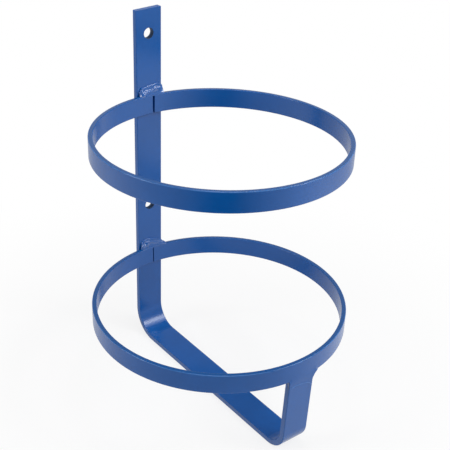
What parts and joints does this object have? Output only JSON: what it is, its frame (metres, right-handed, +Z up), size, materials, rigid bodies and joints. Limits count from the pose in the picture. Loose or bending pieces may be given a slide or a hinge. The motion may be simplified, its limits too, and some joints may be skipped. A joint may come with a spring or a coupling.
{
  "type": "gas cylinder bracket",
  "caption": "Wall bracket for one gas cylinder: a bent flat-bar strap with bolt holes, two welded rings and a shelf that carries the cylinder's foot.",
  "frame": {"origin": "on the wall face of the back strap, midway between its two bolt holes", "axes": "+Z up along the strap, +Y into the wall, -Y out to the front over the shelf, +X to the right seen from the front"},
  "size_m": [0.26, 0.266, 0.3799],
  "materials": {
    "blue_powder_coat": "semi-gloss powder coat"
  },
  "bodies": {
    "root": {"back_strap": "blue_powder_coat", "upper_ring": "blue_powder_coat", "lower_ring": "blue_powder_coat", "upper_ring_weld": "blue_powder_coat", "lower_ring_weld": "blue_powder_coat", "lip_weld": "blue_powder_coat"}
  },
  "joints": []
}
